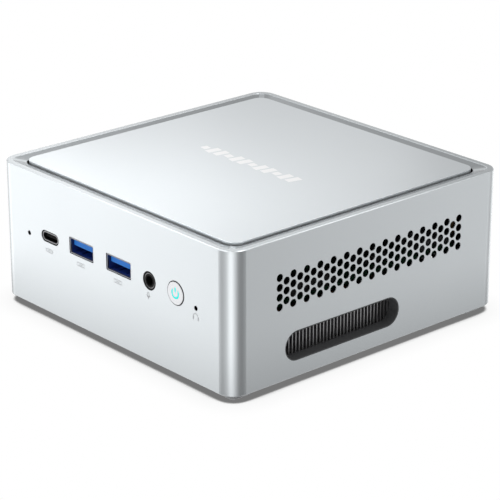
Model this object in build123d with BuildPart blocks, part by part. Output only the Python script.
"""A square mini PC: a silver shell with a push-open top lid, a perforated bottom cover on four
corner feet, a board with its ports, a blower and fin stack below the board, and memory, storage,
radio card, drive tray and storage fan above it.

Frame: millimetres, +Z up, origin on the table at the centre of the footprint.
The front, with the power button, faces -Y, and +X is on the right seen from the front.
"""

from build123d import *
from math import cos, radians, sin, sqrt
import os

os.makedirs("parts", exist_ok=True)

# ---------------------------------------------------------------- driving dimensions
width = 127.0
depth = 127.0
height = 54.0
foot_gap = 2.6  # table to the lower edge of the shell
corner_radius = 6.4
wall = 2.0
gap = 0.1  # ordinary assembly clearance
thin = 0.05  # clearance of close-fitting pieces

# Lid and the sloped rim around it
lid_size = 114.5
lid_radius = 4.5
lid_thickness = 2.5
lid_edge = 0.08  # the lid's upper edge is barely broken
lid_gap = 0.75
skirt_depth, skirt_thickness = 1.6, 1.2
rib_depth, rib_thickness = 0.8, 1.2
striker_depth = 2.2
rim_slope_outer = 122.8  # across the upper edge of the slope
rim_slope_radius = 4.6
rim_slope_drop = 1.0
rim_chamfer = 0.25  # along the outer edge of the flat on top of the rim
rim_bevel = 0.18  # along its inner edge
well_size = lid_size + 2 * lid_gap
well_radius = lid_radius + lid_gap
lid_press = 1.0  # how far the lid goes down when it is pushed
ledge_top = height - lid_thickness - lid_press - 0.3
ledge_thickness = 1.5
ledge_opening, ledge_corner = 111.0, 3.0

# Side vents: rows of round holes on a triangular grid
vent_pitch = 3.5
vent_column = vent_pitch * sqrt(3) / 2
vent_diameter = 2.8
vent_half_columns = 14
vent_z = 35.05
grille_thickness = 0.7  # the wall is thinned from inside behind the vents and the pinholes
grille_pocket = (2 * vent_half_columns * vent_column + 5, 3 * vent_pitch + 5)

# Exhaust slot on the right
slot_length = 53.4
slot_height = 10.9
slot_y = -13.2
slot_z = 14.0

# Front ports: centre x, centre z
reset_x, reset_z = -46.7, 30.15
usb_c_x, usb_c_z = -34.3, 31.7
usb_a_xs, usb_a_z = (-16.05, 4.8), 32.45
audio_x, audio_z = 21.5, 32.2
button_x, button_z = 35.4, 32.0
mic_x, mic_z = 45.7, 29.8
pinhole_diameter = 1.8
pinhole_pocket = 4.5
usb_a_cutout = (13.7, 6.3)
usb_c_cutout = (10.2, 4.35)
audio_diameter = 6.8
audio_bore = 1.8
button_hole = 8.75
button_diameter = 8.15
button_proud = 0.25

# Rear vents below the ports, and the slot for a security lock near the back of the left side
rear_vent_pitch, rear_vent_diameter = 4.0, 2.8
rear_vent_columns, rear_vent_rows, rear_vent_z = 11, 3, 11.0
lock_slot = (7.0, 3.0)
lock_slot_y, lock_slot_z = 48.0, 14.0

# Rear ports: centre x
power_in_x = 41.0
hdmi_xs = (26.5, 9.5)
ethernet_xs = (-8.5, -25.0)
rear_usb_x = -41.0

# Board and the levels above and below it
board_top = 29.2
board_thickness = 1.6
board_bottom = board_top - board_thickness
board_x = 118.0
board_front = -59.0
board_rear = 57.0
post_at = 51.5
post_radius = 3.5
web_thickness = 2.0  # of the ties between the posts and the side walls
thread_radius = 1.25
cover_screw_x, cover_screw_y = 55.0, 46.0
cover_boss_radius, cover_boss_height = 3.2, 7.0
cover_bottom = 2.9
cover_thickness = 2.0
cover_top = cover_bottom + cover_thickness
tray_bottom = 41.0
tray_thickness = 1.0
tray_top = tray_bottom + tray_thickness

# Cooler
blower_x, blower_y = 8.0, -13.0
blower_radius = 35.0
blower_outlet = 57.0
blower_bottom, blower_top = 6.3, 19.2
blower_end_x = 45.5
impeller_radius = 31.0
hub_radius = 13.0
fin_front_x, fin_back_x = 58.9, 46.0
fin_bottom, fin_top = 7.5, 19.9
fin_pitch = 1.6
fin_thickness = 0.4
pipe_width, pipe_height = 6.0, 3.0

inner_face = -depth / 2 + wall  # y of the inside of the front wall
front = Plane.XZ.offset(depth / 2)
rear = Plane((0, depth / 2, 0), x_dir=(-1, 0, 0), z_dir=(0, 1, 0))
right = Plane((width / 2, 0, 0), x_dir=(0, 1, 0), z_dir=(1, 0, 0))
left = Plane((-width / 2, 0, 0), x_dir=(0, -1, 0), z_dir=(-1, 0, 0))


standing = (Align.CENTER, Align.CENTER, Align.MIN)  # a solid that stands on its place
hanging = (Align.CENTER, Align.CENTER, Align.MAX)


def level(z):
    return Plane.XY.offset(z)


def save(builder, name):
    builder.part.label = name
    export_step(builder.part, f"parts/{name}.step")


def vent_points():
    """Hole centres of one side vent: columns of four and three holes by turns."""
    points = []
    for column in range(-vent_half_columns, vent_half_columns + 1):
        rows = 4 if column % 2 == 0 else 3
        for row in range(rows):
            z = vent_z + (row - (rows - 1) / 2) * vent_pitch
            points.append((column * vent_column, z))
    return points


def four_corners(x, y):
    return [(x, y), (-x, y), (-x, -y), (x, -y)]


# ---------------------------------------------------------------- outer shell
rear_window = (97.0, 18.0)
rear_window_x, rear_window_z = -1.0, 37.0
cavity = width - 2 * wall
post_web = width / 2 - 1.4 - post_at  # from the post's axis well into the side wall
boss_web = width / 2 - 1.7 - cover_screw_x

with BuildPart() as housing:
    with BuildSketch(level(foot_gap)):
        RectangleRounded(width, depth, corner_radius)
    extrude(amount=height - foot_gap)
    chamfer(housing.faces().sort_by(Axis.Z)[-1].edges(), rim_chamfer)
    fillet(housing.faces().sort_by(Axis.Z)[0].edges(), 0.4)
    # sloped rim, then the straight well that the lid sinks into
    with BuildSketch(level(height - rim_slope_drop)):
        RectangleRounded(well_size, well_size, well_radius)
    with BuildSketch(level(height - rim_bevel)):
        RectangleRounded(rim_slope_outer - 2 * rim_bevel, rim_slope_outer - 2 * rim_bevel, rim_slope_radius)
    loft(mode=Mode.SUBTRACT)
    with BuildSketch(level(height - rim_bevel)):
        RectangleRounded(rim_slope_outer - 2 * rim_bevel, rim_slope_outer - 2 * rim_bevel, rim_slope_radius)
    with BuildSketch(level(height)):
        RectangleRounded(rim_slope_outer, rim_slope_outer, rim_slope_radius + rim_bevel)
    loft(mode=Mode.SUBTRACT)
    with BuildSketch(level(ledge_top)):
        RectangleRounded(well_size, well_size, well_radius)
    extrude(amount=height - rim_slope_drop - ledge_top, mode=Mode.SUBTRACT)
    with BuildSketch(level(ledge_top)):
        RectangleRounded(ledge_opening, ledge_opening, ledge_corner)
    extrude(amount=-ledge_thickness, mode=Mode.SUBTRACT)
    with BuildSketch(level(foot_gap)):
        RectangleRounded(cavity, cavity, corner_radius - wall)
    extrude(amount=ledge_top - ledge_thickness - foot_gap, mode=Mode.SUBTRACT)
    # posts for the board and bosses for the bottom cover, tied to the side walls
    for side in (-1, 1):
        for end in (-1, 1):
            with BuildSketch(level(cover_top)):
                with Locations((side * post_at, end * post_at)):
                    Circle(post_radius)
                with Locations((side * (post_at + post_web / 2), end * post_at)):
                    Rectangle(post_web, web_thickness)
            extrude(amount=board_bottom - cover_top)
            with BuildSketch(level(cover_top)):
                with Locations((side * cover_screw_x, end * cover_screw_y)):
                    Circle(cover_boss_radius)
                with Locations((side * (cover_screw_x + boss_web / 2), end * cover_screw_y)):
                    Rectangle(boss_web, web_thickness)
            extrude(amount=cover_boss_height)
    with BuildSketch(level(board_bottom)):
        with Locations(*four_corners(post_at, post_at)):
            Circle(thread_radius)
    extrude(amount=-8, mode=Mode.SUBTRACT)
    with BuildSketch(level(cover_top)):
        with Locations(*four_corners(cover_screw_x, cover_screw_y)):
            Circle(thread_radius)
    extrude(amount=6, mode=Mode.SUBTRACT)
    # front openings
    with BuildSketch(front):
        with Locations((reset_x, reset_z), (mic_x, mic_z)):
            Circle(pinhole_diameter / 2)
        with Locations((usb_c_x, usb_c_z)):
            SlotOverall(*usb_c_cutout)
        with Locations(*[(x, usb_a_z) for x in usb_a_xs]):
            RectangleRounded(*usb_a_cutout, 0.6)
        with Locations((audio_x, audio_z)):
            Circle(audio_diameter / 2)
        with Locations((button_x, button_z)):
            Circle(button_hole / 2)
    extrude(amount=-wall, mode=Mode.SUBTRACT)
    with BuildSketch(front.offset(-grille_thickness)):
        with Locations((reset_x, reset_z), (mic_x, mic_z)):
            Circle(pinhole_pocket / 2)
    extrude(amount=-wall, mode=Mode.SUBTRACT)
    # side vents and the exhaust slot
    for face in (right, left):
        with BuildSketch(face):
            with Locations(*vent_points()):
                Circle(vent_diameter / 2)
        extrude(amount=-wall, mode=Mode.SUBTRACT)
        with BuildSketch(face.offset(-grille_thickness)):
            with Locations((0, vent_z)):
                RectangleRounded(*grille_pocket, 2)
        extrude(amount=-wall, mode=Mode.SUBTRACT)
    with BuildSketch(right):
        with Locations((slot_y, slot_z)):
            SlotOverall(slot_length, slot_height)
    extrude(amount=-wall, mode=Mode.SUBTRACT)
    # lock slot near the back of the left side
    with BuildSketch(left):
        with Locations((-lock_slot_y, lock_slot_z)):
            RectangleRounded(*lock_slot, 0.8)
    extrude(amount=-wall, mode=Mode.SUBTRACT)
    # rear window for the port plate, and the lower rear vent
    with BuildSketch(rear):
        with Locations((-rear_window_x, rear_window_z)):
            RectangleRounded(*rear_window, 1.5)
    extrude(amount=-wall, mode=Mode.SUBTRACT)
    with BuildSketch(rear):
        for row in range(rear_vent_rows):
            z = rear_vent_z + row * rear_vent_pitch * sqrt(3) / 2
            for column in range(-rear_vent_columns, rear_vent_columns + 1 - row % 2):
                with Locations(((column + row % 2 / 2) * rear_vent_pitch, z)):
                    Circle(rear_vent_diameter / 2)
    extrude(amount=-wall, mode=Mode.SUBTRACT)
save(housing, "housing")

# ---------------------------------------------------------------- top lid
latch_x = 50.5
with BuildPart() as top_lid:
    with BuildSketch(level(height - lid_thickness)):
        RectangleRounded(lid_size, lid_size, lid_radius)
    extrude(amount=lid_thickness)
    chamfer(top_lid.faces().sort_by(Axis.Z)[-1].edges(), lid_edge)
    # skirt that centres the lid in the ledge opening
    with BuildSketch(level(height - lid_thickness)):
        RectangleRounded(ledge_opening - 1, ledge_opening - 1, ledge_corner - 0.4)
        offset(amount=-skirt_thickness, mode=Mode.SUBTRACT)
    extrude(amount=-skirt_depth)
    # stiffening ribs, and two strikers over the push latches
    with BuildSketch(level(height - lid_thickness)):
        with GridLocations(0, 30, 1, 3):
            Rectangle(84, rib_thickness)
        with GridLocations(28, 0, 4, 1):
            Rectangle(rib_thickness, 84)
    extrude(amount=-rib_depth)
    with BuildSketch(level(height - lid_thickness)):
        with Locations((latch_x, 0), (-latch_x, 0)):
            RectangleRounded(5, 7, 0.8)
    extrude(amount=-striker_depth)
save(top_lid, "top_lid")

# ---------------------------------------------------------------- bottom cover, feet, screws
foot_size = 10.0
foot_at = width / 2 - 3.4 - foot_size / 2
foot_recess = 0.7
screw_head_radius, screw_head_depth, screw_clearance = 2.7, 1.1, 1.7
bracket_holes = [(-35, 46), (35, 46)]  # threaded, for a monitor bracket
intake_pitch, intake_hole_radius, intake_reach = 4.4, 1.6, 28.5
seat_ring = (31.5, 30.3)
with BuildPart() as bottom_cover:
    with BuildSketch(level(cover_bottom)):
        RectangleRounded(cavity - 2 * gap, cavity - 2 * gap, corner_radius - wall - gap)
    extrude(amount=cover_thickness)
    with BuildSketch(level(cover_bottom)):
        with Locations(*four_corners(foot_at, foot_at)):
            RectangleRounded(foot_size + 2 * gap, foot_size + 2 * gap, 2.1)
    extrude(amount=foot_recess, mode=Mode.SUBTRACT)
    # counterbored screw holes
    with BuildSketch(level(cover_bottom)):
        with Locations(*four_corners(cover_screw_x, cover_screw_y)):
            Circle(screw_head_radius)
    extrude(amount=screw_head_depth, mode=Mode.SUBTRACT)
    with BuildSketch(level(cover_bottom)):
        with Locations(*four_corners(cover_screw_x, cover_screw_y)):
            Circle(screw_clearance)
    extrude(amount=cover_thickness, mode=Mode.SUBTRACT)
    # two bosses with threaded holes
    with BuildSketch(level(cover_top)):
        with Locations(*bracket_holes):
            Circle(4)
    extrude(amount=5)
    with BuildSketch(level(cover_bottom)):
        with Locations(*bracket_holes):
            Circle(1.5)
    extrude(amount=6, mode=Mode.SUBTRACT)
    # intake grille below the blower
    with BuildSketch(level(cover_bottom)):
        for row in range(-7, 8):
            for column in range(-7, 8):
                x = (column + row % 2 / 2) * intake_pitch
                y = row * intake_pitch * sqrt(3) / 2
                if x * x + y * y < intake_reach**2:
                    with Locations((blower_x + x, blower_y + y)):
                        Circle(intake_hole_radius)
    extrude(amount=cover_thickness, mode=Mode.SUBTRACT)
    # raised ring round the grille on the inside, and its seat for the blower
    with BuildSketch(level(cover_top)):
        with Locations((blower_x, blower_y)):
            Circle(seat_ring[0])
            Circle(seat_ring[1], mode=Mode.SUBTRACT)
    extrude(amount=1.2)
save(bottom_cover, "bottom_cover")

with BuildPart() as rubber_feet:
    with BuildSketch(level(0)):
        with Locations(*four_corners(foot_at, foot_at)):
            RectangleRounded(foot_size, foot_size, 2)
    extrude(amount=cover_bottom + foot_recess)
    chamfer(rubber_feet.faces().filter_by(Plane.XY).group_by(Axis.Z)[0].edges(), 0.5)
save(rubber_feet, "rubber_feet")



def pan_screw(head_radius, head_height, shank_radius, shank_length):
    """A pan-head screw with a cross recess, its seat at z = 0 and its head upward."""
    with BuildPart() as screw:
        Cylinder(head_radius, head_height, align=standing)
        chamfer(screw.faces().sort_by(Axis.Z)[-1].edges(), head_height * 0.3)
        with BuildSketch(level(head_height)):
            Rectangle(head_radius * 1.1, head_radius * 0.3)
            Rectangle(head_radius * 0.3, head_radius * 1.1)
        extrude(amount=-head_height * 0.6, mode=Mode.SUBTRACT)
        with BuildSketch(level(0)):
            Circle(shank_radius)
        extrude(amount=-shank_length)
    return screw.part


def save_screws(screw, points, seat, name, heads_down=False):
    """Copies of one screw with their seats at height seat, written as one piece."""
    turn = (180, 0, 0) if heads_down else (0, 0, 0)
    with BuildPart() as screws:
        with Locations(*[Location((x, y, seat), turn) for x, y in points]):
            add(screw)
    save(screws, name)


cover_screw_points = four_corners(cover_screw_x, cover_screw_y)
cover_screw = pan_screw(2.5, 1.0, 1.2, 6.0)
save_screws(cover_screw, cover_screw_points, cover_bottom + screw_head_depth, "cover_screws", True)

# ---------------------------------------------------------------- exhaust liner and rear port plate
liner_thickness = 0.4
liner_depth = 4.5
liner_flange, flange_thickness = 1.2, 0.8
liner_bore = thin + liner_thickness
with BuildPart() as exhaust_liner:
    with BuildSketch(right.offset(-gap)):
        with Locations((slot_y, slot_z)):
            SlotOverall(slot_length - 2 * thin, slot_height - 2 * thin)
    extrude(amount=gap - liner_depth)
    with BuildSketch(right.offset(-wall - thin)):
        with Locations((slot_y, slot_z)):
            SlotOverall(slot_length + 2 * liner_flange, slot_height + 2 * liner_flange)
    extrude(amount=-flange_thickness)
    with BuildSketch(right):
        with Locations((slot_y, slot_z)):
            SlotOverall(slot_length - 2 * liner_bore, slot_height - 2 * liner_bore)
    extrude(amount=-liner_depth, mode=Mode.SUBTRACT)
save(exhaust_liner, "exhaust_liner")

rear_usb_levels = (33.2, 40.9)
hdmi_z = 33.0
power_in_z = 34.9
network_z = 36.0
rear_inset = 0.3  # the port plate and port mouths sit just inside the rear face
rear_face = depth / 2 - rear_inset
port_back = depth / 2 - wall - 1.0  # behind the port plate's flange
with BuildPart() as rear_port_plate:
    with BuildSketch(rear.offset(-rear_inset)):
        with Locations((-rear_window_x, rear_window_z)):
            RectangleRounded(rear_window[0] - 2 * gap, rear_window[1] - 2 * gap, 1.4)
    extrude(amount=rear_inset - wall - thin)
    with BuildSketch(rear.offset(-wall - thin)):
        with Locations((-rear_window_x, rear_window_z)):
            RectangleRounded(rear_window[0] + 3, rear_window[1] + 2.4, 1.5)
    extrude(amount=-flange_thickness)
    with BuildSketch(rear):
        with Locations((-power_in_x, power_in_z)):
            Circle(4.1)
        with Locations(*[(-x, hdmi_z) for x in hdmi_xs]):
            RectangleRounded(15.4, 6.4, 0.8)
        with Locations(*[(-x, network_z) for x in ethernet_xs]):
            Rectangle(16.2, 13.8)
        with Locations(*[(-rear_usb_x, z) for z in rear_usb_levels]):
            RectangleRounded(*usb_a_cutout, 0.6)
        # small vents above the video ports
        with Locations((-(hdmi_xs[0] + hdmi_xs[1]) / 2, 40.6)):
            with GridLocations(3.2, 3.2, 10, 2):
                Circle(1.1)
    extrude(amount=-4, mode=Mode.SUBTRACT)
save(rear_port_plate, "rear_port_plate")

# ---------------------------------------------------------------- main board
board_y = (board_front + board_rear) / 2
board_depth = board_rear - board_front
hole_points = four_corners(post_at, post_at)
cpu_x, cpu_y = -12.0, 10.0
cold_screws = [(cpu_x + side * 27, cpu_y + end * 18) for side in (-1, 1) for end in (-1, 1)]
blower_ears = [(blower_x + 37 * cos(radians(a)), blower_y + 37 * sin(radians(a))) for a in (65, 180, 285)]
with BuildPart() as mainboard:
    with BuildSketch(level(board_bottom)):
        with Locations((0, board_y)):
            RectangleRounded(board_x, board_depth, 3)
        with Locations(*hole_points):
            Circle(1.45, mode=Mode.SUBTRACT)
        with Locations(*cold_screws, *blower_ears):
            Circle(1.1, mode=Mode.SUBTRACT)
    extrude(amount=board_thickness)
save(mainboard, "mainboard")

# Standoffs screw through the board into the posts and carry the drive tray.
with BuildPart() as board_standoffs:
    with BuildSketch(level(board_top)):
        with Locations(*hole_points):
            RegularPolygon(2.5, 6, major_radius=False)
    extrude(amount=tray_bottom - board_top)
    with BuildSketch(level(board_top)):
        with Locations(*hole_points):
            Circle(1.2)
    extrude(amount=-8)
    with BuildSketch(level(tray_bottom)):
        with Locations(*hole_points):
            Circle(1.25)
    extrude(amount=-6, mode=Mode.SUBTRACT)
save(board_standoffs, "board_standoffs")


def box(x, y, x_size, y_size, bottom, top):
    """A plain block centred on (x, y) between two heights."""
    with Locations((x, y, bottom)):
        Box(x_size, y_size, top - bottom, align=standing)


with BuildPart() as board_chips:
    for x, y in ((42, -48), (30, -44), (38, 37)):
        box(x, y, 7, 7, board_top, board_top + 1.0)
    for x, y in ((-40, 38), (-20, 40)):
        box(x, y, 9, 9, board_top, board_top + 1.1)
    for x, y in ((24, 40), (-5.6, -48)):
        box(x, y, 5, 4, board_top, board_top + 0.9)
save(board_chips, "board_chips")

with BuildPart() as power_inductors:
    with Locations((50, 37, board_top)):
        with GridLocations(8, 8, 2, 2):
            Box(6.6, 6.6, 3.0, align=standing)
    with Locations((-46, 0, board_bottom)):
        with GridLocations(8, 8, 1, 4):
            Box(6.6, 6.6, 3.0, align=hanging)
    fillet(power_inductors.edges().filter_by(Axis.Z), 0.8)
save(power_inductors, "power_inductors")

cell_x, cell_y = 46.0, 12.0
with BuildPart() as coin_cell:
    with BuildSketch(level(board_top)):
        with Locations((cell_x, cell_y)):
            Circle(10)
    extrude(amount=3.4)
    fillet(coin_cell.edges().filter_by(GeomType.CIRCLE), 0.5)
save(coin_cell, "coin_cell")

# ---------------------------------------------------------------- drive tray and push latches
drive_width = 70.0
drive_front, drive_rear = -58.0, 42.0
rail_height = 4.0
fan_x, fan_y, fan_size = -6.0, 22.0, 40.0
fan_points = [(fan_x + x, fan_y + y) for x, y in four_corners(17.5, 17.5)]
fan_bottom, fan_top = 34.95, tray_bottom - thin
with BuildPart() as drive_tray:
    with BuildSketch(level(tray_bottom)):
        with Locations((0, (drive_front + drive_rear) / 2)):
            Rectangle(drive_width + 3, drive_rear - drive_front)
        Rectangle(109, 24)
        for end, reach in ((-1, 46), (1, 38)):
            with Locations((0, end * reach)):
                Rectangle(106, 8)
        with Locations(*hole_points):
            Circle(3.5)
        for side in (-1, 1):
            with Locations((side * post_at, post_at - 8)):
                Rectangle(6, 16)
        # weight-saving windows and the fan opening
        with Locations((0, -36)):
            SlotOverall(48, 12, mode=Mode.SUBTRACT)
        with Locations((fan_x, fan_y)):
            Circle(17.5, mode=Mode.SUBTRACT)
        with Locations(*hole_points):
            Circle(1.5, mode=Mode.SUBTRACT)
        with Locations(*fan_points):
            Circle(1.1, mode=Mode.SUBTRACT)
    extrude(amount=tray_thickness)
    # side rails with the four drive screw holes
    for side in (-1, 1):
        with BuildSketch(level(tray_top)):
            with Locations((side * (drive_width / 2 + 1), (drive_front + drive_rear) / 2)):
                Rectangle(1, drive_rear - drive_front)
        extrude(amount=rail_height)
    with BuildSketch(Plane.YZ):
        with Locations((drive_rear - 14, tray_top + 3), (drive_rear - 90.6, tray_top + 3)):
            Circle(1.6)
    extrude(amount=60, both=True, mode=Mode.SUBTRACT)
save(drive_tray, "drive_tray")
save_screws(pan_screw(2.5, 1.2, 1.2, 5.0), hole_points, tray_top, "tray_screws")

latch_top = 47.0
plunger_x, plunger_y = 3.2, 4.6
with BuildPart() as latch_bodies:
    with BuildSketch(level(tray_top)):
        with Locations((latch_x, 0), (-latch_x, 0)):
            RectangleRounded(7, 9, 0.8)
            Rectangle(5, 20)
    extrude(amount=1.2)
    with BuildSketch(level(tray_top)):
        with Locations((latch_x, 0), (-latch_x, 0)):
            RectangleRounded(7, 9, 0.8)
    extrude(amount=latch_top - tray_top)
    with BuildSketch(level(latch_top)):
        with Locations((latch_x, 0), (-latch_x, 0)):
            Rectangle(plunger_x + gap, plunger_y + gap)
    extrude(amount=-4.4, mode=Mode.SUBTRACT)
    with BuildSketch(level(tray_top)):
        with Locations(*four_corners(latch_x, 7.5)):
            Circle(1.2)
    extrude(amount=1.2, mode=Mode.SUBTRACT)
save(latch_bodies, "latch_bodies")

striker_bottom = height - lid_thickness - striker_depth
with BuildPart() as latch_plungers:
    with BuildSketch(level(latch_top - 3.2)):
        with Locations((latch_x, 0), (-latch_x, 0)):
            Rectangle(plunger_x, plunger_y)
    extrude(amount=striker_bottom - thin - (latch_top - 3.2))
    fillet(latch_plungers.faces().sort_by(Axis.Z)[-2:].edges(), 0.5)
save(latch_plungers, "latch_plungers")

# Socket for the drive at the rear end of the tray, with its flat ribbon down to the board
with BuildPart() as drive_connector:
    box(2, 40, 34, 4, tray_top, tray_top + 4.6)
    with BuildSketch(Plane.XZ.offset(-38.0)):
        with Locations((2, tray_top + 2.4)):
            Rectangle(31, 1.6)
    extrude(amount=-2.5, mode=Mode.SUBTRACT)
save(drive_connector, "drive_connector")

with BuildPart() as drive_ribbon:
    with BuildSketch(Plane.YZ.offset(-8)):
        with BuildLine():
            path = FilletPolyline((42.25, 42.8), (43.6, 42.8), (43.6, board_top + 0.2), radius=1.0)
            offset(path, amount=0.15, side=Side.BOTH)
        make_face()
    extrude(amount=20)
save(drive_ribbon, "drive_ribbon")

# ---------------------------------------------------------------- fans
def rotor(bottom, top, hub_radius, hub_depth, shaft_radius, tip_radius, blades, lean, blade_thickness):
    """A fan rotor on the Z axis: a hub cup open at the top, its shaft, and curved blades."""
    root_radius = hub_radius - 0.5
    middle_radius = (root_radius + tip_radius) / 2
    with BuildPart() as spinner:
        with BuildSketch(level(bottom)):
            Circle(hub_radius)
        extrude(amount=top - bottom)
        with BuildSketch(level(top)):
            Circle(hub_radius - 1)
            Circle(shaft_radius, mode=Mode.SUBTRACT)
        extrude(amount=-hub_depth, mode=Mode.SUBTRACT)
        with BuildSketch(level(bottom)):
            with BuildLine():
                arc = ThreePointArc(
                    (root_radius, 0),
                    (middle_radius * cos(radians(lean * 0.4)), middle_radius * sin(radians(lean * 0.4))),
                    (tip_radius * cos(radians(lean)), tip_radius * sin(radians(lean))),
                )
                offset(arc, amount=blade_thickness / 2, side=Side.BOTH)
            make_face()
        one_blade = extrude(amount=top - bottom)
        step = 360 / blades
        with PolarLocations(0, blades - 1, start_angle=step, angular_range=step * (blades - 2)):
            add(one_blade)
    return spinner.part


# Storage fan under the tray. Its frame has a tube that the rotor's shaft turns in.
fan_plate = 0.8
fan_tube_depth = 3.0
with BuildPart() as storage_fan_frame:
    with BuildSketch(level(fan_bottom)):
        with Locations((fan_x, fan_y)):
            RectangleRounded(fan_size, fan_size, 2)
            Circle(18.4, mode=Mode.SUBTRACT)
        with Locations(*fan_points):
            Circle(1.1, mode=Mode.SUBTRACT)
    extrude(amount=fan_top - fan_bottom)
    with BuildSketch(level(fan_top)):
        with Locations((fan_x, fan_y)):
            Circle(9)
        for turn in (45, 135):
            with Locations(Location((fan_x, fan_y), turn)):
                Rectangle(37.5, 1.6)
    extrude(amount=-fan_plate)
    with BuildSketch(level(fan_top - fan_plate)):
        with Locations((fan_x, fan_y)):
            Circle(2.4)
    extrude(amount=-fan_tube_depth)
    with BuildSketch(level(fan_top - fan_plate - fan_tube_depth)):
        with Locations((fan_x, fan_y)):
            Circle(1.05)
    extrude(amount=fan_tube_depth - 0.2, mode=Mode.SUBTRACT)
save(storage_fan_frame, "storage_fan_frame")

storage_rotor = rotor(fan_bottom + 0.3, fan_top - fan_plate - 0.25, 8.5, 4.0, 1.0, 17.6, 9, 34, 0.9)
with BuildPart() as storage_fan_rotor:
    with Locations((fan_x, fan_y)):
        add(storage_rotor)
save(storage_fan_rotor, "storage_fan_rotor")

# ---------------------------------------------------------------- blower and fins below the board
outlet_y = slot_y - 0.2


def blower_outline():
    """Plan outline of the blower: a round scroll with a straight duct to the fins."""
    with BuildSketch(level(0)) as outline:
        with Locations((blower_x, blower_y)):
            Circle(blower_radius)
        with Locations(((blower_x + blower_end_x) / 2, outlet_y)):
            Rectangle(blower_end_x - blower_x, blower_outlet)
    return outline.sketch


blower_plan = blower_outline()
scroll_wall = 1.2
blower_plate = 0.8
cover_plate = 0.6
ear_thickness = 2.0
tube_radius, tube_depth = 3.5, 8.0
intake_radius = 23.0
with BuildPart() as blower_housing:
    with BuildSketch(level(blower_bottom + cover_plate + thin)):
        add(blower_plan)
        with Locations(*blower_ears):
            Circle(3.2)
    extrude(amount=blower_top - blower_bottom - cover_plate - thin)
    with BuildSketch(level(blower_bottom)):
        add(blower_plan)
        offset(amount=-scroll_wall)
        with Locations((blower_end_x, outlet_y)):
            Rectangle(4, blower_outlet - 2 * scroll_wall)
    extrude(amount=blower_top - blower_plate - blower_bottom, mode=Mode.SUBTRACT)
    with BuildSketch(level(blower_bottom)):
        with Locations(*blower_ears):
            Circle(1.3)
    extrude(amount=blower_top, mode=Mode.SUBTRACT)
    # ears are thinner than the scroll
    with BuildSketch(level(blower_bottom)):
        with Locations(*blower_ears):
            Circle(3.3)
        add(blower_plan, mode=Mode.SUBTRACT)
    extrude(amount=blower_top - ear_thickness - blower_bottom, mode=Mode.SUBTRACT)
    # bearing tube
    with BuildSketch(level(blower_top - blower_plate)):
        with Locations((blower_x, blower_y)):
            Circle(tube_radius)
    extrude(amount=-tube_depth)
    with BuildSketch(level(blower_top - blower_plate - tube_depth)):
        with Locations((blower_x, blower_y)):
            Circle(1.55)
    extrude(amount=tube_depth - 0.4, mode=Mode.SUBTRACT)
save(blower_housing, "blower_housing")

with BuildPart() as blower_cover:
    with BuildSketch(level(blower_bottom)):
        add(blower_plan)
        with Locations((blower_x, blower_y)):
            Circle(intake_radius, mode=Mode.SUBTRACT)
    extrude(amount=cover_plate)
save(blower_cover, "blower_cover")

impeller_bottom, impeller_top = blower_bottom + 1.0, blower_top - blower_plate - 0.5
impeller = rotor(impeller_bottom, impeller_top, hub_radius, 9.6, 1.5, impeller_radius, 37, 22, 0.7)
with BuildPart() as blower_impeller:
    with Locations((blower_x, blower_y)):
        add(impeller)
    # ring that ties the blade tips together
    with BuildSketch(level((impeller_bottom + impeller_top) / 2 - 0.4)):
        with Locations((blower_x, blower_y)):
            Circle(impeller_radius)
            Circle(impeller_radius - 2, mode=Mode.SUBTRACT)
    extrude(amount=0.8)
save(blower_impeller, "blower_impeller")

# Stator: wound poles round the bearing tube, inside the hub
with BuildPart() as blower_stator:
    with BuildSketch(level(blower_top - blower_plate - 6.5)):
        with Locations((blower_x, blower_y)):
            Circle(7)
            with PolarLocations(7.5, 6):
                Rectangle(5, 3)
            with PolarLocations(9.6, 6):
                RectangleRounded(2, 8, 0.5)
        with Locations((blower_x, blower_y)):
            Circle(tube_radius + thin, mode=Mode.SUBTRACT)
    extrude(amount=5.5)
save(blower_stator, "blower_stator")

with BuildPart() as blower_standoffs:
    with BuildSketch(level(blower_top)):
        with Locations(*blower_ears):
            RegularPolygon(2.25, 6, major_radius=False)
    extrude(amount=board_bottom - blower_top)
    with BuildSketch(level(board_bottom)):
        with Locations(*blower_ears):
            Circle(1.05)
    extrude(amount=board_thickness)
    with BuildSketch(level(blower_top)):
        with Locations(*blower_ears):
            Circle(1.05)
    extrude(amount=5, mode=Mode.SUBTRACT)
save(blower_standoffs, "blower_standoffs")
blower_screw = pan_screw(2.0, 1.1, 1.0, 5.5)
save_screws(blower_screw, blower_ears, blower_top - ear_thickness, "blower_screws", True)

# Fin stack: thin plates between two flanges, standing across the exhaust slot
fin_y_size, fin_flange = 56.0, 0.4
fin_count = int(fin_y_size / fin_pitch)
fin_depth = fin_front_x - fin_back_x
fin_x = (fin_front_x + fin_back_x) / 2
with BuildPart() as fin_stack:
    box(fin_x, slot_y, fin_depth, fin_y_size, fin_bottom, fin_bottom + fin_flange)
    box(fin_x, slot_y, fin_depth, fin_y_size, fin_top - fin_flange, fin_top)
    with Locations((fin_x, slot_y, fin_bottom)):
        with GridLocations(0, fin_pitch, 1, fin_count):
            Box(fin_depth, fin_thickness, fin_top - fin_bottom, align=standing)
save(fin_stack, "fin_stack")

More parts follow.
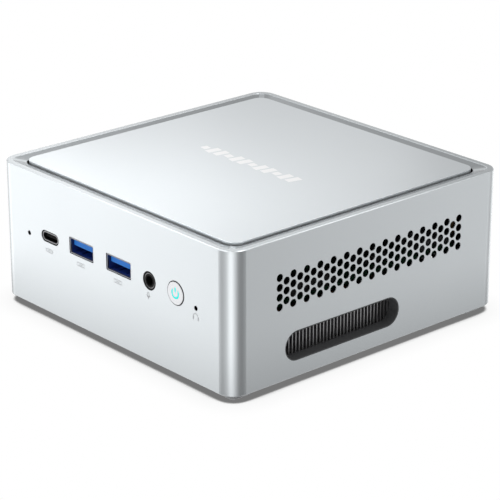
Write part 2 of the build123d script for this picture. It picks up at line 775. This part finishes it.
pipe_z = fin_top + thin + pipe_height / 2
pipe_bend = 7.0
with BuildPart() as heat_pipes:
    for pipe_y, pipe_x in ((cpu_y + 4, fin_front_x - 3.3), (cpu_y - 4, fin_back_x + 3.3)):
        start = (cpu_x - 18, pipe_y, pipe_z)
        with BuildLine() as route:
            FilletPolyline(start, (pipe_x, pipe_y, pipe_z), (pipe_x, slot_y - 24, pipe_z), radius=pipe_bend)
        with BuildSketch(Plane(origin=start, x_dir=(0, 1, 0), z_dir=(1, 0, 0))):
            RectangleRounded(pipe_width, pipe_height, 1.2)
        sweep(path=route.wires()[0])
save(heat_pipes, "heat_pipes")

# Processor package and its cold plate, held by four sprung screws
package_height, die_height = 1.2, 0.7
die_bottom = board_bottom - package_height - die_height
arm_height = 1.0  # of the cold plate's screw arms
plate_bottom = fin_top + thin + pipe_height + thin
with BuildPart() as processor:
    box(cpu_x, cpu_y, 35, 25, board_bottom - package_height, board_bottom)
    box(cpu_x, cpu_y, 17, 12, die_bottom, board_bottom - package_height)
save(processor, "processor")

with BuildPart() as cold_plate:
    box(cpu_x, cpu_y, 44, 30, plate_bottom, die_bottom - thin)
    for x, y in cold_screws:
        with BuildSketch(level(die_bottom - thin)):
            with Locations((x, y)):
                Circle(3.4)
            with BuildLine():
                Polyline((x, y - 3), (x, y + 3), (cpu_x, cpu_y + 6), (cpu_x, cpu_y - 6), close=True)
            make_face()
        extrude(amount=-arm_height)
    with BuildSketch(level(die_bottom)):
        with Locations(*cold_screws):
            Circle(1.3)
    extrude(amount=-4, mode=Mode.SUBTRACT)
save(cold_plate, "cold_plate")
cold_screw = pan_screw(2.4, 1.2, 1.0, 4.2)
save_screws(cold_screw, cold_screws, die_bottom - thin - arm_height, "cold_plate_screws", True)

# ---------------------------------------------------------------- memory
memory_x = -16.0
module_width, module_depth, module_thickness = 67.6, 30.0, 1.0
lower_z, upper_z = 31.4, 35.6
lower_front, upper_front = -42.0, -35.0
arm_gap = 0.4
arm_thickness = 0.9
arm_x = module_width / 2 + arm_gap + arm_thickness / 2
pin_radius = 0.5
with BuildPart() as memory_sockets:
    lower_back = lower_front + module_depth
    upper_back = upper_front + module_depth
    socket_width = module_width + 8
    box(memory_x, lower_back + 1.4, socket_width, 6.8, board_top, lower_z + 2.2)
    box(memory_x, upper_back + 3.4, socket_width, 3.2, board_top, upper_z + 2.2)
    box(memory_x, upper_back + 1.4, socket_width, 7.0, lower_z + 2.8, upper_z + 2.2)
    # slots for the modules
    for back, z in ((lower_back, lower_z), (upper_back, upper_z)):
        with Locations((memory_x, back - 2, z - gap)):
            Box(
                module_width + 0.4,
                4 + 2 * gap,
                module_thickness + 2 * gap,
                align=standing,
                mode=Mode.SUBTRACT,
            )
    # ears with the pivot pins of the retaining arms
    for back, z in ((lower_back, lower_z), (upper_back, upper_z)):
        for side in (-1, 1):
            box(memory_x + side * (arm_x + 0.2), back - 3.6, 2.6, 4.0, z - 1.2, z - 0.4)
            with Locations((memory_x + side * (arm_x + 0.2), back - 4.2, z - 0.4)):
                Cylinder(pin_radius, 2.4, align=standing)
save(memory_sockets, "memory_sockets")

with BuildPart() as memory_modules:
    for front_y, z in ((lower_front, lower_z), (upper_front, upper_z)):
        middle = front_y + module_depth / 2
        box(memory_x, middle, module_width, module_depth, z, z + module_thickness)
        with Locations((memory_x, middle - 2, z + module_thickness)):
            with GridLocations(16.4, 0, 4, 1):
                Box(12, 10, 1.0, align=standing)
        with Locations((memory_x, middle - 2, z)):
            with GridLocations(16.4, 0, 4, 1):
                Box(12, 10, 1.0, align=hanging)
        with Locations((memory_x + 7, front_y + module_depth, z)):
            Box(1.6, 5, 3, mode=Mode.SUBTRACT)
save(memory_modules, "memory_modules")


def memory_arm(side, back, z, name):
    """A retaining arm: an eye on the pivot pin, a bar along the module and a hook over its edge."""
    x = memory_x + side * arm_x
    pivot_x = memory_x + side * (arm_x + 0.2)
    pivot_y = back - 4.2
    tip_y = pivot_y - 18
    bottom = z - 0.4 + thin
    with BuildPart() as arm:
        with BuildSketch(level(bottom)):
            with Locations((pivot_x, pivot_y)):
                Circle(0.95)
            with Locations((x, (pivot_y + tip_y) / 2)):
                Rectangle(arm_thickness, pivot_y - tip_y)
            with Locations((x + side * 0.5, tip_y + 1.5)):
                Rectangle(arm_thickness + 1, 3)
            with Locations((pivot_x, pivot_y)):
                Circle(pin_radius + thin, mode=Mode.SUBTRACT)
        extrude(amount=2.0)
        box(x - side * 0.7, tip_y + 2, arm_thickness + 1, 2.4, z + module_thickness + gap, bottom + 2.0)
    save(arm, name)


for side, side_name in ((-1, "left"), (1, "right")):
    memory_arm(side, lower_back, lower_z, f"memory_arm_lower_{side_name}")
    memory_arm(side, upper_back, upper_z, f"memory_arm_upper_{side_name}")

# ---------------------------------------------------------------- storage and radio cards
card_z = board_top + 1.4
card_thickness = 0.8
storage_y, storage_end, storage_length = 19.0, 31.0, 80.0
radio_y, radio_end, radio_length = -23.0, 24.0, 30.0
card_width = 22.0
socket_depth = 7.0
storage_root = storage_end - storage_length
radio_root = radio_end + radio_length
with BuildPart() as card_sockets:
    for x, y, side in ((storage_root - 1.5, storage_y, 1), (radio_root + 1.5, radio_y, -1)):
        box(x, y, socket_depth, card_width, board_top, board_top + 4.2)
        with Locations((x + side * 2.6, y, card_z - gap)):
            Box(
                socket_depth,
                card_width - 1,
                card_thickness + 2 * gap,
                align=standing,
                mode=Mode.SUBTRACT,
            )
    # standoffs under the free ends of the cards
    for x, y in ((storage_end, storage_y), (radio_end, radio_y)):
        with BuildSketch(level(board_top)):
            with Locations((x, y)):
                Circle(2.6)
                Circle(0.9, mode=Mode.SUBTRACT)
        extrude(amount=1.4 - thin)
save(card_sockets, "card_sockets")


def card(x, y, length, side, name, chips):
    """A plug-in card with its screw notch at x and its contacts length away; chips are (x, y, sizes)."""
    with BuildPart() as piece:
        with BuildSketch(level(card_z)):
            with Locations((x + side * length / 2, y)):
                Rectangle(length, card_width - 1.2)
            with Locations((x, y)):
                Circle(1.75, mode=Mode.SUBTRACT)
        extrude(amount=card_thickness)
        for chip_x, chip_y, size_x, size_y, chip_height in chips:
            box(x + side * chip_x, y + chip_y, size_x, size_y, card_z + card_thickness,
                card_z + card_thickness + chip_height)
    save(piece, name)


storage_chips = [(14, 0, 12, 16, 1.0), (32, 0, 14, 18, 1.0), (50, 0, 14, 18, 1.0), (65, 0, 9, 9, 1.0)]
radio_chips = [(15, 0, 17, 16, 1.3), (4.5, 6.5, 2, 2, 0.8), (4.5, -6.5, 2, 2, 0.8)]
card(storage_end, storage_y, storage_length - 1, -1, "storage_module", storage_chips)
card(radio_end, radio_y, radio_length - 1, 1, "radio_card", radio_chips)

sink_bottom = card_z + card_thickness + 1.0 + 0.3
with BuildPart() as storage_heatsink:
    sink_x = storage_end - 38.5
    box(sink_x, storage_y, 68, 21, sink_bottom, sink_bottom + 0.7)
    with Locations((sink_x, storage_y, sink_bottom + 0.7)):
        with GridLocations(0, 2, 1, 11):
            Box(68, 0.8, 0.6, align=standing)
save(storage_heatsink, "storage_heatsink")

card_screw_points = [(storage_end, storage_y), (radio_end, radio_y)]
card_screw = pan_screw(2.2, 0.8, 0.85, 2.0)
save_screws(card_screw, card_screw_points, card_z + card_thickness + 0.02, "card_screws")

with BuildPart() as antennas:
    for x in (-32, 30):
        with Locations((x, -depth / 2 + wall + 0.35, 42.5)):
            Box(36, 0.6, 8)
            with Locations((0, 0.5, 0)):
                Box(6, 0.6, 4)
save(antennas, "antennas")


def lead(points, radius, start_tangent, end_tangent):
    """A round cable swept along a smooth curve through points."""
    with BuildPart() as cable:
        with BuildLine() as route:
            Spline(*points, tangents=(start_tangent, end_tangent))
        with BuildSketch(Plane(origin=points[0], z_dir=start_tangent)):
            Circle(radius)
        sweep(path=route.wires()[0])
    return cable.part


# Antenna leads: from the card's two coaxial plugs up and forward to the antennas
plug_x = radio_end + 4.5
plug_z = card_z + card_thickness + 0.8 + 0.05
lead_start = plug_z + 0.9
up = (0, 0, 1)
antenna_y = inner_face + 1.75
right_route = [
    (plug_x, radio_y - 6.5, lead_start),
    (29, -44, 37.5),
    (29.5, -56, 37.0),
    (30, antenna_y, 39.3),
    (30, antenna_y, 42),
]
left_route = [
    (plug_x, radio_y + 6.5, lead_start),
    (14, -30, 39.3),
    (-18, -52, 38.2),
    (-30, -57, 37.5),
    (-32, antenna_y, 39.5),
    (-32, antenna_y, 42),
]
right_lead = lead(right_route, 0.5, up, up)
left_lead = lead(left_route, 0.5, up, up)
with BuildPart() as antenna_leads:
    with Locations((plug_x, radio_y - 6.5, plug_z), (plug_x, radio_y + 6.5, plug_z)):
        Cylinder(1.1, 0.9, align=standing)
    add(right_lead)
    add(left_lead)
save(antenna_leads, "antenna_leads")

# Supply leads of the two fans and the coin cell, each ending in a small plug on the board
fan_plug = (24, 4)
blower_plug = (-34, -36)
cell_plug = (30, 0)
plug_height = 1.6
plug_entry = plug_height - thin  # the leads end just inside their plugs
fan_route = [(fan_x + fan_size / 2 + 0.3, 8, 38), (*fan_plug, board_top + plug_entry)]
cell_route = [(cell_x - 10.2, cell_y - 1, board_top + 1.5), (*cell_plug, board_top + plug_entry)]
blower_route = [
    (blower_x - 28, blower_y - 22, (blower_bottom + blower_top) / 2),
    (*blower_plug, board_bottom - plug_entry),
]
down = (0, 0, -1)
fan_lead = lead(fan_route, 0.7, (1, 0, 0), down)
cell_lead = lead(cell_route, 0.6, (-1, 0, 0), down)
blower_lead = lead(blower_route, 0.7, (-1, -0.4, 0), up)
with BuildPart() as supply_leads:
    for x, y in (fan_plug, cell_plug):
        box(x, y, 5, 3.4, board_top, board_top + plug_height)
    box(*blower_plug, 6, 3.4, board_bottom - plug_height, board_bottom)
    add(fan_lead)
    add(cell_lead)
    add(blower_lead)
save(supply_leads, "supply_leads")

# ---------------------------------------------------------------- front ports
mouth = depth / 2 - 0.2  # connector mouths stand just inside the face
usb_depth = 14.0
usb_shell = (13.2, 5.8, 0.3)


def usb_shell_tube(x, z, start_y, direction):
    """Sheet-metal tube of a rectangular USB port with its four contact springs."""
    width_out, height_out, sheet = usb_shell
    plane = Plane((x, start_y, z), x_dir=(1, 0, 0), z_dir=(0, direction, 0))
    with BuildPart() as tube:
        with BuildSketch(plane):
            RectangleRounded(width_out, height_out, 0.5)
            RectangleRounded(width_out - 2 * sheet, height_out - 2 * sheet, 0.25, mode=Mode.SUBTRACT)
        extrude(amount=usb_depth)
        # windows in the top and bottom sheets, each with a spring bent inward at its far end
        with BuildSketch(level(z)):
            with Locations((x, start_y + direction * 4.2)):
                with GridLocations(6.4, 0, 2, 1):
                    Rectangle(2.8, 5.2)
        extrude(amount=height_out, both=True, mode=Mode.SUBTRACT)
        for spring_x in (x - 3.2, x + 3.2):
            side_view = Plane((spring_x, start_y, z), x_dir=(0, direction, 0), z_dir=(-direction, 0, 0))
            for side in (-1, 1):
                outer, inner = side * height_out / 2, side * (height_out / 2 - sheet)
                bend = side * 0.45
                with BuildSketch(side_view):
                    with BuildLine():
                        Polyline((1.5, inner), (1.5, outer), (5.2, outer - bend), (5.6, outer),
                                 (5.6, inner), (5.2, inner - bend), close=True)
                    make_face()
                extrude(amount=0.8, both=True)
    return tube.part


def usb_insulator(x, z, start_y, direction):
    """Insulator of a USB port: a back block and the tongue in the upper part of the mouth."""
    width_out, height_out, sheet = usb_shell
    plane = Plane((x, start_y, z), x_dir=(1, 0, 0), z_dir=(0, direction, 0))
    up = 1 if plane.y_dir.Z > 0 else -1
    with BuildPart() as insulator:
        with BuildSketch(plane.offset(usb_depth - 4)):
            RectangleRounded(width_out - 2 * sheet - 0.1, height_out - 2 * sheet - 0.1, 0.3)
        extrude(amount=4)
        with BuildSketch(plane.offset(1.0)):
            with Locations((0, up * 1.0)):
                Rectangle(11.0, 1.9)
        extrude(amount=usb_depth - 4)
    return insulator.part


usb_a_places = [(x, usb_a_z, -mouth, 1) for x in usb_a_xs]
usb_a_places += [(rear_usb_x, z, mouth, -1) for z in rear_usb_levels]
shell_tubes = [usb_shell_tube(*place) for place in usb_a_places]
insulators = [usb_insulator(*place) for place in usb_a_places]
with BuildPart() as usb_a_shells:
    add(shell_tubes)
save(usb_a_shells, "usb_a_shells")

with BuildPart() as usb_a_tongues:
    add(insulators)
save(usb_a_tongues, "usb_a_tongues")

usb_c_depth = 9.0
usb_c_plane = Plane((usb_c_x, -mouth, usb_c_z), x_dir=(1, 0, 0), z_dir=(0, 1, 0))
with BuildPart() as usb_c_shell:
    with BuildSketch(usb_c_plane):
        SlotOverall(9.1, 3.4)
        SlotOverall(8.4, 2.7, mode=Mode.SUBTRACT)
    extrude(amount=usb_c_depth)
save(usb_c_shell, "usb_c_shell")

with BuildPart() as usb_c_tongue:
    with BuildSketch(usb_c_plane.offset(usb_c_depth - 3)):
        SlotOverall(8.3, 2.6)
    extrude(amount=3)
    with BuildSketch(usb_c_plane.offset(0.8)):
        Rectangle(6.7, 0.7)
    extrude(amount=usb_c_depth - 3.5)
save(usb_c_tongue, "usb_c_tongue")

audio_plane = Plane((audio_x, -depth / 2 + 0.05, audio_z), x_dir=(1, 0, 0), z_dir=(0, 1, 0))
ring_outer, ring_inner, ring_depth = 2.75, 2.4, 0.7
with BuildPart() as audio_jack:
    with BuildSketch(audio_plane):
        Circle(audio_diameter / 2 - 0.1)
    extrude(amount=3.4)
    box(audio_x, -depth / 2 + 9.4, 6.4, 12, board_top, board_top + 6.0)
    with BuildSketch(audio_plane):
        Circle(audio_bore)
    extrude(amount=14, mode=Mode.SUBTRACT)
    with BuildSketch(audio_plane):
        Circle(ring_outer)
        Circle(ring_inner, mode=Mode.SUBTRACT)
    extrude(amount=ring_depth, mode=Mode.SUBTRACT)
save(audio_jack, "audio_jack")

with BuildPart() as audio_ring:
    with BuildSketch(audio_plane.offset(gap)):
        Circle(ring_outer - thin / 2)
        Circle(ring_inner + thin / 2, mode=Mode.SUBTRACT)
    extrude(amount=ring_depth - gap)
save(audio_ring, "audio_ring")

# Power button with the glowing symbol let into its face
button_front = -depth / 2 - button_proud
button_rim, rim_thickness = 0.8, 0.6  # the rim inside the wall that keeps the button in its hole
button_stem = 0.9


def button_plane_at(y):
    return Plane((button_x, y, button_z), x_dir=(-1, 0, 0), z_dir=(0, 1, 0))


button_plane = button_plane_at(button_front)
symbol_radius, symbol_stroke, symbol_depth = 1.65, 0.62, 0.4


def power_symbol():
    """A broken ring with a bar standing in its gap."""
    with BuildSketch(Plane.XY) as symbol:
        Circle(symbol_radius + symbol_stroke / 2)
        Circle(symbol_radius - symbol_stroke / 2, mode=Mode.SUBTRACT)
        with Locations((0, symbol_radius)):
            Rectangle(4 * symbol_stroke, 2, mode=Mode.SUBTRACT)
        with Locations((0, 1.25)):
            SlotOverall(1.9, symbol_stroke, rotation=90)
    return symbol.sketch


symbol_shape = power_symbol()
with BuildPart() as power_button:
    with BuildSketch(button_plane):
        Circle(button_diameter / 2)
    extrude(amount=inner_face + gap - button_front)
    fillet(power_button.faces().sort_by(Axis.Y)[0].edges(), 0.25)
    with BuildSketch(button_plane_at(inner_face + gap)):
        Circle(button_hole / 2 + button_rim)
    extrude(amount=rim_thickness)
    with BuildSketch(button_plane_at(inner_face + gap + rim_thickness)):
        Circle(1.2)
    extrude(amount=button_stem)
    with BuildSketch(button_plane):
        add(symbol_shape)
    extrude(amount=symbol_depth, mode=Mode.SUBTRACT)
save(power_button, "power_button")

with BuildPart() as power_light:
    with BuildSketch(button_plane.offset(0.02)):
        add(symbol_shape)
    extrude(amount=symbol_depth - 0.02)
save(power_light, "power_light")

switch_front = inner_face + 2.3
with BuildPart() as board_switches:
    box(button_x, switch_front + 1.75, 6, 3.5, board_top, board_top + 5.6)
    with BuildSketch(button_plane_at(switch_front)):
        Circle(1.1)
    extrude(amount=1.2, mode=Mode.SUBTRACT)
    box(reset_x, board_front + 1.2, 4.6, 3.4, board_top, board_top + 2.2)
    with Locations((reset_x, board_front - 0.5, reset_z)):
        Box(1.7, 1.4, 0.9, mode=Mode.SUBTRACT)
save(board_switches, "board_switches")

with BuildPart() as power_switch_plunger:
    with BuildSketch(button_plane_at(inner_face + gap + rim_thickness + button_stem + thin)):
        Circle(1.0)
    extrude(amount=1.4)
save(power_switch_plunger, "power_switch_plunger")

with BuildPart() as reset_plunger:
    with Locations((reset_x, board_front - 0.75, reset_z)):
        Box(1.6, 1.0, 0.8)
save(reset_plunger, "reset_plunger")

with BuildPart() as microphone:
    box(mic_x, board_front + 1.3, 3.6, 3.0, board_top, board_top + 1.2)
save(microphone, "microphone")

# ---------------------------------------------------------------- rear ports
with BuildPart() as power_inlet:
    box(power_in_x, port_back - 7, 9, 14, board_top, board_top + 11)
    with BuildSketch(rear.offset(-rear_inset)):
        with Locations((-power_in_x, power_in_z)):
            Circle(3.9)
    extrude(amount=-4)
    with BuildSketch(rear.offset(-rear_inset)):
        with Locations((-power_in_x, power_in_z)):
            Circle(2.9)
    extrude(amount=-10, mode=Mode.SUBTRACT)
    with BuildSketch(rear.offset(-1.0)):
        with Locations((-power_in_x, power_in_z)):
            Circle(1.2)
    extrude(amount=-10)
save(power_inlet, "power_inlet")

with BuildPart() as video_ports:
    for x in hdmi_xs:
        outer = Plane((x, rear_face, hdmi_z), x_dir=(-1, 0, 0), z_dir=(0, 1, 0))
        with BuildSketch(outer):
            RectangleRounded(15.0, 6.0, 0.6)
            with BuildLine():
                FilletPolyline((-6.9, 2.2), (6.9, 2.2), (6.9, -0.6), (5.2, -2.2), (-5.2, -2.2), (-6.9, -0.6),
                               radius=0.4, close=True)
            make_face(mode=Mode.SUBTRACT)
        extrude(amount=-12)
        box(x, rear_face - 11, 14.9, 2, hdmi_z - 2.9, hdmi_z + 2.9)
        box(x, rear_face - 6, 11.4, 9, hdmi_z - 0.2, hdmi_z + 1.1)
save(video_ports, "video_ports")

with BuildPart() as network_ports:
    for x in ethernet_xs:
        box(x, rear_face - 8.5, 16, 17, board_top, board_top + 13.5)
        with BuildSketch(Plane((x, rear_face, network_z), x_dir=(-1, 0, 0), z_dir=(0, 1, 0))):
            with Locations((0, 0.4)):
                Rectangle(11.8, 8.2)
            with Locations((0, -4.4)):
                Rectangle(6.2, 2.0)
            with Locations((0, -5.8)):
                Rectangle(4.0, 1.2)
        extrude(amount=-12, mode=Mode.SUBTRACT)
save(network_ports, "network_ports")
